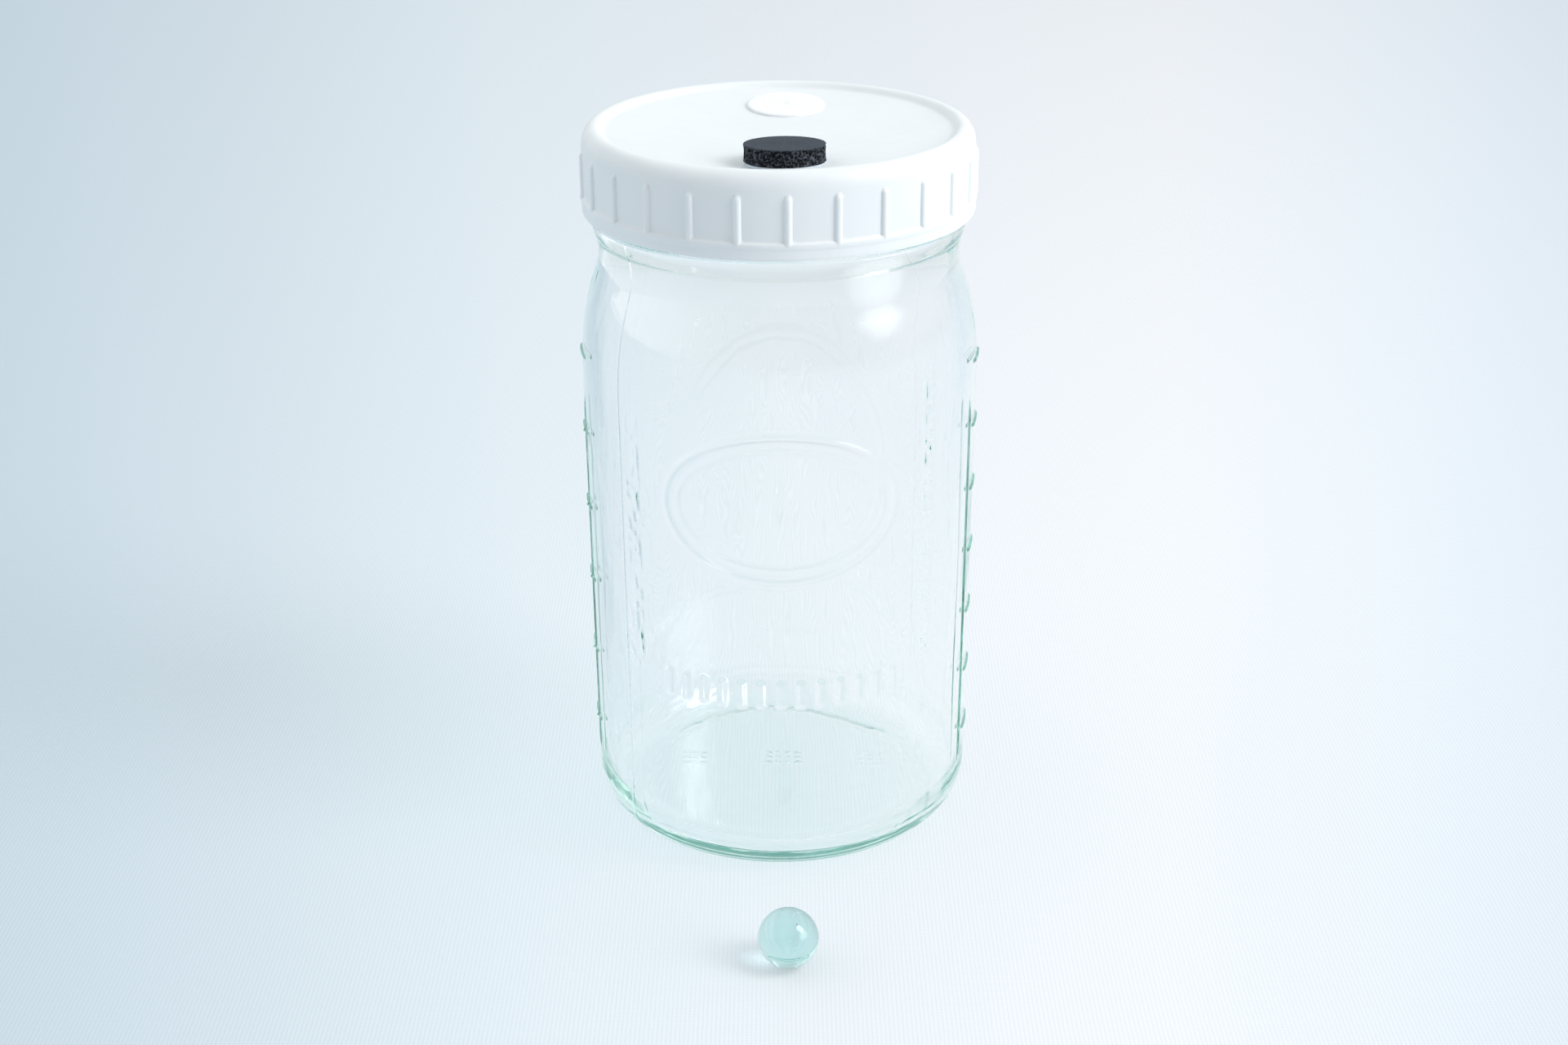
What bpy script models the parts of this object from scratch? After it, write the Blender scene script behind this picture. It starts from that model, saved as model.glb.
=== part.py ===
"""Culture jar: a round wide-mouth glass jar with a ribbed screw lid, port, filter and marble.

Metres, +Z up. The origin is on the jar's axis, on the surface that the jar stands on. The front
of the jar, with the injection port and the marble, faces -Y.
"""
import math

import bmesh
import bpy
from mathutils import Matrix, Vector

# Finish of the glass jar: the wide mouth, its rim and the bead under the lid
RIM_HEIGHT = 0.1714
MOUTH_RADIUS = 0.0380
FINISH_WALL = 0.0036
RIM_ROUND = 0.0013
FINISH_HEIGHT = 0.0162
BEAD_PROUD = 0.0030
BEAD_HEIGHT = 0.0044
BEAD_ROUND = 0.0008

# Neck and shoulder
NECK_FLARE = 0.0004
NECK_LENGTH = 0.0033
SHOULDER_LENGTH = 0.0295
SHOULDER_HANDLE = 0.0200
NECK_HANDLE = 0.0060
INNER_SHOULDER_DROP = 0.0020
INNER_NECK_RISE = 0.0065
INNER_NECK_HANDLE = 0.0120

# Body, heel and base
BODY_RADIUS = 0.0477
BODY_TAPER = 0.0005
HEEL_RADIUS = 0.0105
WALL = 0.0026
BASE_THICKNESS = 0.0050
BASE_CROWN = 0.0008
INNER_HEEL_RADIUS = 0.0090
RECESS_DEPTH = 0.0010
RECESS_SLOPE = 0.0035
STANDING_RING_WIDTH = 0.0025

# Raised measuring bars on the two sides of the glass: 100 ml steps and half-cup steps
BAR_ARC_DEG = 12.0
BAR_HEIGHT = 0.0010
BAR_PROUD = 0.0007
BAR_SINK = 0.0006
BAR_BREAK = 0.00025
BAR_OVERRUN = 0.0050
RIGHT_BAR_ANGLE_DEG = 81.5
RIGHT_BAR_START = 0.0222
RIGHT_BAR_STEP = 0.0165
LEFT_BAR_ANGLE_DEG = -81.5
LEFT_BAR_START = 0.0250
LEFT_BAR_STEP = 0.0195

# Screw thread, shared by the jar and the lid
THREAD_PITCH = 0.00635
THREAD_TURNS = 1.25
THREAD_DEPTH = 0.0014
THREAD_CREST_GAP = 0.0005
THREAD_FLANK_GAP = 0.0003
THREAD_RUNOUT_DEG = 20.0
THREAD_RUNOUT_SINK = 0.05
THREAD_SINK = 0.0005
THREAD_CREST_BREAK = 0.00025
JAR_THREAD_RISE = 0.0041
JAR_THREAD_ROOT_HALF = 0.0013
JAR_THREAD_CREST_HALF = 0.00035
JAR_THREAD_PITCH_HALF = 0.00092
LID_THREAD_RISE = 0.0017
LID_THREAD_ROOT_HALF = 0.00115
LID_THREAD_CREST_HALF = 0.0003
LID_THREAD_PITCH_HALF = 0.00078

# Seal ring between the rim and the lid
SEAL_THICKNESS = 0.0009
SEAL_GAP = 0.0003
SEAL_SIDE_GAP = 0.0006
SEAL_LAP = 0.0004

# Screw lid
LID_BEAD_GAP = 0.0011
LID_SKIRT_WALL = 0.0024
LID_BAND_HEIGHT = 0.0034
LID_BAND_PROUD = 0.0004
LID_LINE_PROUD = 0.0006
LID_LINE_THICKNESS = 0.0008
LID_EDGE_BREAK = 0.0005
LID_SEAT_LAP = 0.0012
LID_SEAT_WALL = 0.0017
LID_TOP_WALL = 0.0016
LID_RIM_RISE = 0.0014
LID_RIM_SLOPE = 0.0019
LID_SHOULDER_WIDTH = 0.0030
LID_SHOULDER_DROP = 0.0042
DISH_DEPTH = 0.0021
RIB_COUNT = 26
RIB_PHASE_DEG = 2.6
RIB_WIDTH = 0.0017
RIB_CREST_WIDTH = 0.0008
RIB_PROUD = 0.00055
RIB_SINK = 0.0006
RIB_TOP_DROP = 0.0052
RIB_ROUND = 0.0008

# Injection port and filter, both stuck to the dished top of the lid
STUCK_GAP = 0.0003
PORT_X = 0.0014
PORT_INSET = 0.0118
PORT_RADIUS = 0.0092
PORT_THICKNESS = 0.0038
PORT_EDGE_BREAK = 0.0002
PORT_FILM_MARGIN = 0.0001
PORT_FILM_THICKNESS = 0.0003
NEEDLE_HOLE_RADIUS = 0.0030
FILTER_X = 0.0018
FILTER_INSET = 0.0145
FILTER_RADIUS = 0.0095
FILTER_THICKNESS = 0.0005
FILTER_EDGE_BREAK = 0.00015
FILTER_FILM_MARGIN = 0.0002
FILTER_FILM_THICKNESS = 0.0003
FILTER_FILM_LAP = 0.0008
VENT_HOLE_RADIUS = 0.0050

# Stirring marble, standing by itself in front of the jar
MARBLE_RADIUS = 0.0070
MARBLE_X = 0.0014
MARBLE_DISTANCE = 0.0353

# Places that follow from the sizes above
BODY_LOW_RADIUS = BODY_RADIUS - BODY_TAPER
FINISH_RADIUS = MOUTH_RADIUS + FINISH_WALL
NECK_RADIUS = FINISH_RADIUS + NECK_FLARE
BEAD_RADIUS = FINISH_RADIUS + BEAD_PROUD
BEAD_TOP = RIM_HEIGHT - FINISH_HEIGHT
BEAD_BOTTOM = BEAD_TOP - BEAD_HEIGHT
NECK_HEIGHT = BEAD_BOTTOM - NECK_LENGTH
SHOULDER_HEIGHT = NECK_HEIGHT - SHOULDER_LENGTH
INNER_NECK_HEIGHT = NECK_HEIGHT + INNER_NECK_RISE
JAR_THREAD_RADIUS = FINISH_RADIUS + THREAD_DEPTH
JAR_THREAD_START = BEAD_TOP + JAR_THREAD_RISE
LID_THREAD_RADIUS = FINISH_RADIUS + THREAD_CREST_GAP
LID_BORE_RADIUS = JAR_THREAD_RADIUS + THREAD_CREST_GAP
LID_SKIRT_RADIUS = LID_BORE_RADIUS + LID_SKIRT_WALL
LID_BAND_RADIUS = LID_SKIRT_RADIUS + LID_BAND_PROUD
LID_LINE_RADIUS = LID_SKIRT_RADIUS + LID_LINE_PROUD
LID_CREST_RADIUS = LID_SKIRT_RADIUS - LID_SHOULDER_WIDTH
LID_BOTTOM = BEAD_TOP + LID_BEAD_GAP
LID_THREAD_START = LID_BOTTOM + LID_THREAD_RISE
LID_LINE_HEIGHT = LID_BOTTOM + LID_BAND_HEIGHT
LID_SEAT_HEIGHT = RIM_HEIGHT + SEAL_THICKNESS + 2 * SEAL_GAP
LID_SEAT_RADIUS = MOUTH_RADIUS - LID_SEAT_LAP
PLATEAU_RADIUS = LID_CREST_RADIUS - LID_RIM_SLOPE
PLATEAU_HEIGHT = LID_SEAT_HEIGHT + LID_SEAT_WALL
LID_TOP = PLATEAU_HEIGHT + LID_RIM_RISE
RIB_TOP = LID_TOP - RIB_TOP_DROP
SEAL_OUTER_RADIUS = LID_BORE_RADIUS - SEAL_SIDE_GAP
SEAL_INNER_RADIUS = MOUTH_RADIUS - SEAL_LAP
PORT_Y = PORT_INSET - PLATEAU_RADIUS
FILTER_Y = PLATEAU_RADIUS - FILTER_INSET
FILTER_FILM_BORE = VENT_HOLE_RADIUS + FILTER_FILM_LAP
MARBLE_Y = -BODY_RADIUS - MARBLE_DISTANCE

# Facets
JAR_SEGMENTS = 72
LID_SEGMENTS = 78
LID_THREAD_SEGMENTS = 54
SMALL_SEGMENTS = 36
HOLE_SEGMENTS = 20
MARBLE_SEGMENTS = 24
MARBLE_RINGS = 12
HEEL_STEPS = 4
SHOULDER_STEPS = 5
ROUND_STEPS = 2
BEAD_STEPS = 2
LID_ROUND_STEPS = 4
DISH_RINGS = 3
SHARP_ANGLE_DEG = 35.0
WELD = 1e-6


def clear_scene():
    """Remove every object, so that the file holds only this model."""
    for item in list(bpy.data.objects):
        bpy.data.objects.remove(item, do_unlink=True)


def make_material(name, colour, roughness, metallic=0.0, transmission=0.0):
    """A plain Principled material."""
    material = bpy.data.materials.new(name)
    material.use_nodes = True
    shader = material.node_tree.nodes["Principled BSDF"]
    shader.inputs["Base Color"].default_value = (*colour, 1.0)
    shader.inputs["Roughness"].default_value = roughness
    shader.inputs["Metallic"].default_value = metallic
    shader.inputs["Transmission Weight"].default_value = transmission
    material.diffuse_color = (*colour, 1.0)
    return material


def make_object(name, shape, material=None):
    """Turn a bmesh into an object of the scene, shaded smooth with sharp corners kept."""
    bmesh.ops.recalc_face_normals(shape, faces=shape.faces[:])
    mesh = bpy.data.meshes.new(name)
    shape.to_mesh(mesh)
    shape.free()
    mesh.shade_smooth()
    mesh.set_sharp_from_angle(angle=math.radians(SHARP_ANGLE_DEG))
    if material is not None:
        mesh.materials.append(material)
    item = bpy.data.objects.new(name, mesh)
    bpy.context.scene.collection.objects.link(item)
    return item


def hide_tool(item):
    """Mark an object as a tool of a Boolean, not a piece of the product."""
    item.hide_render = True
    item.display_type = 'WIRE'


def combine(target, tool, operation):
    """Add a Boolean that joins the tool to the target or cuts it out."""
    modifier = target.modifiers.new(tool.name, 'BOOLEAN')
    modifier.operation = operation
    modifier.solver = 'EXACT'
    modifier.object = tool
    hide_tool(tool)


def arc(centre, radius, start_deg, end_deg, steps):
    """Points on an arc in the profile plane, both ends included."""
    points = []
    for step in range(steps + 1):
        angle = math.radians(start_deg + (end_deg - start_deg) * step / steps)
        points.append((centre[0] + radius * math.cos(angle), centre[1] + radius * math.sin(angle)))
    return points


def sweep_between(low, low_handle, high, high_handle, steps):
    """An S-shaped stretch of profile, upright at both ends, both ends included."""
    corners = (low, (low[0], low[1] + low_handle), (high[0], high[1] - high_handle), high)
    points = []
    for step in range(steps + 1):
        t = step / steps
        weights = ((1 - t) ** 3, 3 * t * (1 - t) ** 2, 3 * t * t * (1 - t), t ** 3)
        radius = sum(weight * corner[0] for weight, corner in zip(weights, corners))
        height = sum(weight * corner[1] for weight, corner in zip(weights, corners))
        points.append((radius, height))
    return points


def turned(profile, segments, closed=False):
    """Spin a profile of (radius, height) points about the Z axis."""
    shape = bmesh.new()
    verts = [shape.verts.new((radius, 0.0, height)) for radius, height in profile]
    edges = [shape.edges.new(pair) for pair in zip(verts, verts[1:])]
    if closed:
        edges.append(shape.edges.new((verts[-1], verts[0])))
    bmesh.ops.spin(shape, geom=verts + edges, cent=(0, 0, 0), axis=(0, 0, 1),
                   angle=2 * math.pi, steps=segments, use_merge=False, use_duplicate=False)
    bmesh.ops.remove_doubles(shape, verts=shape.verts[:], dist=WELD)
    return shape


def body_radius_at(height):
    """Outside radius of the slightly tapered body."""
    share = (height - HEEL_RADIUS) / (SHOULDER_HEIGHT - HEEL_RADIUS)
    return BODY_LOW_RADIUS + (BODY_RADIUS - BODY_LOW_RADIUS) * min(max(share, 0.0), 1.0)


def jar_outside():
    """Profile from the middle of the base, up the outside, to the top of the finish wall."""
    ring_outer = BODY_LOW_RADIUS - HEEL_RADIUS
    ring_inner = ring_outer - STANDING_RING_WIDTH
    points = [(0.0, RECESS_DEPTH), (ring_inner - RECESS_SLOPE, RECESS_DEPTH), (ring_inner, 0.0)]
    points += arc((ring_outer, HEEL_RADIUS), HEEL_RADIUS, -90, 0, HEEL_STEPS)
    points += sweep_between((BODY_RADIUS, SHOULDER_HEIGHT), SHOULDER_HANDLE,
                            (NECK_RADIUS, NECK_HEIGHT), NECK_HANDLE, SHOULDER_STEPS)
    bead_in = BEAD_RADIUS - BEAD_ROUND
    points += [(NECK_RADIUS, BEAD_BOTTOM - BEAD_ROUND)]
    points += arc((bead_in, BEAD_BOTTOM + BEAD_ROUND), BEAD_ROUND, -90, 0, BEAD_STEPS)
    points += arc((bead_in, BEAD_TOP - BEAD_ROUND), BEAD_ROUND, 0, 90, BEAD_STEPS)
    points += [(FINISH_RADIUS, BEAD_TOP + BEAD_ROUND)]
    return points


def jar_rim():
    """Profile over the rounded rim of the mouth."""
    outer = arc((FINISH_RADIUS - RIM_ROUND, RIM_HEIGHT - RIM_ROUND), RIM_ROUND, 0, 90, ROUND_STEPS)
    inner = arc((MOUTH_RADIUS + RIM_ROUND, RIM_HEIGHT - RIM_ROUND), RIM_ROUND, 90, 180, ROUND_STEPS)
    return outer + inner


def jar_inside():
    """Profile down the inside, from the mouth to the middle of the floor."""
    low_radius = BODY_LOW_RADIUS - WALL
    shoulder = sweep_between((BODY_RADIUS - WALL, SHOULDER_HEIGHT - INNER_SHOULDER_DROP),
                             SHOULDER_HANDLE, (MOUTH_RADIUS, INNER_NECK_HEIGHT),
                             INNER_NECK_HANDLE, SHOULDER_STEPS)
    heel_centre = (low_radius - INNER_HEEL_RADIUS, BASE_THICKNESS + INNER_HEEL_RADIUS)
    heel = arc(heel_centre, INNER_HEEL_RADIUS, 0, -90, HEEL_STEPS)
    return shoulder[::-1] + heel + [(0.0, BASE_THICKNESS + BASE_CROWN)]


def thread_section(root_radius, crest_radius, root_half, crest_half):
    """Cross-section of a thread ridge: (radius, height) points from its low to its high edge."""
    break_radius = crest_radius - math.copysign(THREAD_CREST_BREAK, crest_radius - root_radius)
    share = (crest_radius - break_radius) / (crest_radius - root_radius)
    break_half = crest_half + (root_half - crest_half) * share + THREAD_CREST_BREAK
    low = [(root_radius, -root_half), (break_radius, -break_half), (crest_radius, -crest_half)]
    high = [(radius, -height) for radius, height in reversed(low)]
    return low + high


def thread_ridge(name, section, start_height, start_turn, segments):
    """Sweep a ridge up the helix, sinking back into the wall at both ends."""
    root_radius = section[0][0]
    step_turn = 1.0 / segments
    steps = round(THREAD_TURNS * segments)
    runout = THREAD_RUNOUT_DEG / 360.0
    shape = bmesh.new()
    rings = []
    for step in range(steps + 1):
        turn = step * step_turn
        rise = min(turn, steps * step_turn - turn) / runout
        swell = math.sin(min(rise, 1.0) * math.pi / 2)
        angle = (start_turn + turn) * 2 * math.pi
        height = start_height + turn * THREAD_PITCH
        ring = []
        for radius, offset in section:
            radius_here = root_radius + (radius - root_radius) * max(swell, THREAD_RUNOUT_SINK)
            ring.append(shape.verts.new((radius_here * math.sin(angle),
                                         -radius_here * math.cos(angle), height + offset)))
        rings.append(ring)
    for ring, following in zip(rings, rings[1:]):
        for index in range(len(section)):
            after = (index + 1) % len(section)
            shape.faces.new((ring[index], ring[after], following[after], following[index]))
    shape.faces.new(rings[0])
    shape.faces.new(rings[-1][::-1])
    return make_object(name, shape)


def measuring_bars(name, angle_deg, start, step):
    """A column of short raised bars up the side of the body, to just above where the shoulder starts."""
    shape = bmesh.new()
    count = math.floor((SHOULDER_HEIGHT + BAR_OVERRUN - start) / step) + 1
    for index in range(count):
        height = start + index * step
        wall = body_radius_at(height)
        half = BAR_HEIGHT / 2
        crest = wall + BAR_PROUD
        section = [(wall - BAR_SINK, -half), (crest - BAR_BREAK, -half), (crest, -half + BAR_BREAK),
                   (crest, half - BAR_BREAK), (crest - BAR_BREAK, half), (wall - BAR_SINK, half)]
        rings = []
        for share in (-0.5, 0.0, 0.5):
            angle = math.radians(angle_deg + share * BAR_ARC_DEG)
            rings.append([shape.verts.new((radius * math.sin(angle), -radius * math.cos(angle),
                                           height + offset)) for radius, offset in section])
        for ring, following in zip(rings, rings[1:]):
            for corner in range(len(section)):
                after = (corner + 1) % len(section)
                shape.faces.new((ring[corner], ring[after], following[after], following[corner]))
        shape.faces.new(rings[0])
        shape.faces.new(rings[-1][::-1])
    return make_object(name, shape)


def build_jar(material):
    """The glass jar with its thread and measuring bars."""
    profile = jar_outside() + jar_rim() + jar_inside()
    jar = make_object('glass_jar', turned(profile, JAR_SEGMENTS), material)
    section = thread_section(FINISH_RADIUS - THREAD_SINK, JAR_THREAD_RADIUS,
                             JAR_THREAD_ROOT_HALF, JAR_THREAD_CREST_HALF)
    combine(jar, thread_ridge('jar_thread', section, JAR_THREAD_START, 0.0, JAR_SEGMENTS), 'UNION')
    combine(jar, measuring_bars('right_bars', RIGHT_BAR_ANGLE_DEG, RIGHT_BAR_START,
                                RIGHT_BAR_STEP), 'UNION')
    combine(jar, measuring_bars('left_bars', LEFT_BAR_ANGLE_DEG, LEFT_BAR_START,
                                LEFT_BAR_STEP), 'UNION')
    return jar


def dish_height(radius):
    """Height of the lid's dished top at a radius."""
    return PLATEAU_HEIGHT - DISH_DEPTH * (1.0 - (radius / PLATEAU_RADIUS) ** 2)


def lid_profile():
    """Half section of the lid, from the middle of the top, over the skirt, to the middle below."""
    top = []
    for ring in range(DISH_RINGS + 1):
        radius = PLATEAU_RADIUS * ring / DISH_RINGS
        top.append((radius, dish_height(radius)))
    shoulder_width = LID_SKIRT_RADIUS - LID_CREST_RADIUS
    shoulder = []
    for step in range(LID_ROUND_STEPS + 1):
        angle = math.pi / 2 * (1 - step / LID_ROUND_STEPS)
        shoulder.append((LID_CREST_RADIUS + shoulder_width * math.cos(angle),
                         LID_TOP - LID_SHOULDER_DROP * (1 - math.sin(angle))))
    half_line = LID_LINE_THICKNESS / 2
    line = [(LID_SKIRT_RADIUS, LID_LINE_HEIGHT + LID_LINE_THICKNESS),
            (LID_LINE_RADIUS, LID_LINE_HEIGHT + half_line),
            (LID_LINE_RADIUS, LID_LINE_HEIGHT - half_line),
            (LID_BAND_RADIUS, LID_LINE_HEIGHT - LID_LINE_THICKNESS)]
    edge = [(LID_BAND_RADIUS, LID_BOTTOM + LID_EDGE_BREAK),
            (LID_BAND_RADIUS - LID_EDGE_BREAK, LID_BOTTOM),
            (LID_BORE_RADIUS + LID_EDGE_BREAK, LID_BOTTOM),
            (LID_BORE_RADIUS, LID_BOTTOM + LID_EDGE_BREAK)]
    inside = [(LID_BORE_RADIUS, LID_SEAT_HEIGHT), (LID_SEAT_RADIUS, LID_SEAT_HEIGHT)]
    below = []
    for ring in range(DISH_RINGS):
        radius = (LID_SEAT_RADIUS - LID_TOP_WALL / 2) * (1 - ring / DISH_RINGS)
        below.append((radius, dish_height(radius) - LID_TOP_WALL))
    below.append((0.0, dish_height(0.0) - LID_TOP_WALL))
    return top + shoulder + line + edge + inside + below


def lid_ribs():
    """Round-topped grip ribs, from the raised line up the skirt."""
    shape = bmesh.new()
    low = LID_LINE_HEIGHT
    levels = ((low, 1.0), (RIB_TOP - RIB_ROUND, 1.0), (RIB_TOP - RIB_ROUND / 3, 0.7), (RIB_TOP, 0.0))
    root = LID_SKIRT_RADIUS - RIB_SINK
    for index in range(RIB_COUNT):
        turn = Matrix.Rotation(math.radians(RIB_PHASE_DEG) + 2 * math.pi * index / RIB_COUNT, 3, 'Z')
        rings = []
        for height, swell in levels:
            crest = LID_SKIRT_RADIUS + RIB_PROUD * swell - RIB_SINK / 2 * (1 - swell)
            flank = crest - RIB_PROUD / 2 * swell
            half = RIB_WIDTH / 2
            crest_half = RIB_CREST_WIDTH / 2
            outline = ((-half, root), (-half, flank), (-crest_half, crest),
                       (crest_half, crest), (half, flank), (half, root))
            rings.append([shape.verts.new(turn @ Vector((x, -y, height))) for x, y in outline])
        for ring, following in zip(rings, rings[1:]):
            for corner in range(len(ring)):
                after = (corner + 1) % len(ring)
                shape.faces.new((ring[corner], ring[after], following[after], following[corner]))
        shape.faces.new(rings[0][::-1])
        shape.faces.new(rings[-1])
    return make_object('grip_ribs', shape)


def seat_matrix(x, y, lift):
    """Place a flat piece on the dish at (x, y), tilted with its slope and lifted off it."""
    radius = math.hypot(x, y)
    slope = 2 * DISH_DEPTH * radius / PLATEAU_RADIUS ** 2
    normal = Vector((-slope * x / radius, -slope * y / radius, 1.0)).normalized()
    turn = Vector((0, 0, 1)).rotation_difference(normal).to_matrix().to_4x4()
    base = Vector((x, y, dish_height(radius)))
    return Matrix.Translation(base + normal * lift) @ turn


def hole_tool(name, x, y, radius):
    """A plain round cutter through the lid's top."""
    shape = bmesh.new()
    depth = 4 * LID_TOP_WALL
    bmesh.ops.create_cone(shape, cap_ends=True, segments=HOLE_SEGMENTS, radius1=radius,
                          radius2=radius, depth=depth, matrix=seat_matrix(x, y, 0.0))
    return make_object(name, shape)


def build_lid(material):
    """The moulded screw lid."""
    lid = make_object('screw_lid', turned(lid_profile(), LID_SEGMENTS), material)
    combine(lid, lid_ribs(), 'UNION')
    section = thread_section(LID_BORE_RADIUS + THREAD_SINK, LID_THREAD_RADIUS,
                             LID_THREAD_ROOT_HALF, LID_THREAD_CREST_HALF)
    offset = JAR_THREAD_PITCH_HALF + LID_THREAD_PITCH_HALF + THREAD_FLANK_GAP
    start_turn = (LID_THREAD_START - JAR_THREAD_START + offset) / THREAD_PITCH
    ridge = thread_ridge('lid_thread', section, LID_THREAD_START, start_turn,
                         LID_THREAD_SEGMENTS)
    combine(lid, ridge, 'UNION')
    combine(lid, hole_tool('needle_hole', PORT_X, PORT_Y, NEEDLE_HOLE_RADIUS), 'DIFFERENCE')
    combine(lid, hole_tool('vent_hole', FILTER_X, FILTER_Y, VENT_HOLE_RADIUS), 'DIFFERENCE')
    return lid


def build_seal(material):
    """The flat ring that the lid presses on the rim."""
    low = RIM_HEIGHT + SEAL_GAP
    high = LID_SEAT_HEIGHT - SEAL_GAP
    profile = [(SEAL_INNER_RADIUS, low), (SEAL_OUTER_RADIUS, low),
               (SEAL_OUTER_RADIUS, high), (SEAL_INNER_RADIUS, high)]
    return make_object('seal_ring', turned(profile, JAR_SEGMENTS, closed=True), material)


def disc(name, radius, thickness, edge_break, material):
    """A flat disc that stands on its own origin, its upper edge slightly broken."""
    profile = [(0.0, 0.0), (radius, 0.0), (radius, thickness - edge_break),
               (radius - edge_break, thickness), (0.0, thickness)]
    return make_object(name, turned(profile, SMALL_SEGMENTS), material)


def build_port(rubber, film):
    """The injection port and the adhesive film under it."""
    sheet = disc('port_adhesive', PORT_RADIUS - PORT_FILM_MARGIN, PORT_FILM_THICKNESS,
                 PORT_FILM_THICKNESS / 4, film)
    sheet.matrix_world = seat_matrix(PORT_X, PORT_Y, STUCK_GAP)
    port = disc('injection_port', PORT_RADIUS, PORT_THICKNESS, PORT_EDGE_BREAK, rubber)
    port.matrix_world = seat_matrix(PORT_X, PORT_Y, 2 * STUCK_GAP + PORT_FILM_THICKNESS)
    return [port, sheet]


def build_filter(paper, film):
    """The filter disc and the adhesive ring under it."""
    outer = FILTER_RADIUS - FILTER_FILM_MARGIN
    profile = [(FILTER_FILM_BORE, 0.0), (outer, 0.0),
               (outer, FILTER_FILM_THICKNESS), (FILTER_FILM_BORE, FILTER_FILM_THICKNESS)]
    ring = make_object('filter_adhesive', turned(profile, SMALL_SEGMENTS, closed=True), film)
    ring.matrix_world = seat_matrix(FILTER_X, FILTER_Y, STUCK_GAP)
    cover = disc('filter_disc', FILTER_RADIUS, FILTER_THICKNESS, FILTER_EDGE_BREAK, paper)
    cover.matrix_world = seat_matrix(FILTER_X, FILTER_Y, 2 * STUCK_GAP + FILTER_FILM_THICKNESS)
    return [cover, ring]


def build_marble(material):
    """The stirring marble."""
    shape = bmesh.new()
    bmesh.ops.create_uvsphere(shape, u_segments=MARBLE_SEGMENTS, v_segments=MARBLE_RINGS,
                              radius=MARBLE_RADIUS)
    marble = make_object('stirring_marble', shape, material)
    marble.location = (MARBLE_X, MARBLE_Y, MARBLE_RADIUS)
    return marble


def hang_on(pivot, pieces):
    """Parent pieces to an empty without moving them."""
    for piece in pieces:
        piece.parent = pivot
        piece.matrix_parent_inverse = pivot.matrix_world.inverted()


def build():
    """Model the whole jar."""
    clear_scene()
    glass = make_material('clear_glass', (0.87, 0.95, 0.92), 0.03, transmission=1.0)
    plastic = make_material('white_plastic', (0.90, 0.92, 0.93), 0.38)
    silicone = make_material('seal_silicone', (0.86, 0.86, 0.84), 0.55)
    rubber = make_material('black_foam_rubber', (0.030, 0.034, 0.038), 0.85)
    port_film = make_material('port_film', (0.42, 0.24, 0.19), 0.45)
    paper = make_material('filter_paper', (0.95, 0.96, 0.96), 0.80)
    filter_film = make_material('filter_film', (0.88, 0.89, 0.89), 0.50)
    marble_glass = make_material('marble_glass', (0.72, 0.90, 0.87), 0.02, transmission=1.0)
    build_jar(glass)
    pivot = bpy.data.objects.new('lid_pivot', None)
    pivot.location = (0.0, 0.0, LID_BOTTOM)
    bpy.context.scene.collection.objects.link(pivot)
    bpy.context.view_layer.update()
    pieces = [build_lid(plastic), build_seal(silicone)]
    pieces += build_port(rubber, port_film)
    pieces += build_filter(paper, filter_film)
    hang_on(pivot, pieces)
    build_marble(marble_glass)


build()
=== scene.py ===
import math

import bmesh
import bpy
import numpy as np
from mathutils import Matrix, Vector


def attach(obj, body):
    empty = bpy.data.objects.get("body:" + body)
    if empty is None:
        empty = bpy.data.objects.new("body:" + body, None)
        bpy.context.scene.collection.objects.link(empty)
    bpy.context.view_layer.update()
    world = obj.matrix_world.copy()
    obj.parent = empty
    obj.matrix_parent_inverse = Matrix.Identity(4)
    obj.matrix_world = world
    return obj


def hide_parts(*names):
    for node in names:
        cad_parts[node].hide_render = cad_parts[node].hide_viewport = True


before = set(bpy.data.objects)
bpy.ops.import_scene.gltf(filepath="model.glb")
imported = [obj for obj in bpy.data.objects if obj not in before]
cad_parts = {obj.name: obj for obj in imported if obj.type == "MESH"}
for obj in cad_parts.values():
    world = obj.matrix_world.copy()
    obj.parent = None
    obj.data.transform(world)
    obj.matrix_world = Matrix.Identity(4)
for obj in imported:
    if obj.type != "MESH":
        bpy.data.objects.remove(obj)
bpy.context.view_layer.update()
scene = bpy.context.scene
MM = 0.001

# Camera at the photograph's viewing angle
CAMERA_DISTANCE = 0.5120
CAMERA_HEIGHT = 0.3004
CAMERA_X = 0.00086
CAMERA_PITCH = 0.416
CAMERA_ROLL = -0.0048
CAMERA_FOCAL = 2735.0
PHOTO_WIDTH = 1920.0

# Floor in metres: its tones in a fan from left to right, with painted shade that is darkest at the left,
# away from the key lamp, and a little darker again at the far right; share of its own tone, and the weave
FLOOR_TONES_WITH_SHADE = ((0.0, (0.598, 0.699, 0.766)), (0.15, (0.668, 0.753, 0.813)), (0.26, (0.730, 0.808, 0.859)),
               (0.34, (0.770, 0.838, 0.881)), (0.65, (0.854, 0.878, 0.911)), (0.75, (0.866, 0.885, 0.914)),
               (0.88, (0.809, 0.854, 0.901)), (1.0, (0.730, 0.792, 0.849)))
FLOOR_GLOW = 0.32
FLOOR_HALF = 6.0
FAN_APEX = 0.645
FAN_NEAR = 0.35
FAN_HALF = 0.32
WEAVE_SCALE = 320.0
WEAVE_SHADE = 0.935

# Soft window in the world: direction, half sizes as tangents, and strength
WINDOW_WAY = (0.866, -0.332, 0.375)
WINDOW_SIZE = (0.34, 0.24)
WINDOW_POWER = 4.5

# World colours from left to right, strength, and share that is left behind the camera
WORLD_COLOURS = ((0.0, (1.34, 1.37, 1.39)), (0.32, (0.72, 0.79, 0.83)), (1.0, (0.96, 0.97, 0.98)))
WORLD_STRENGTH = 0.95
WORLD_FRONT = 0.43

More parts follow.
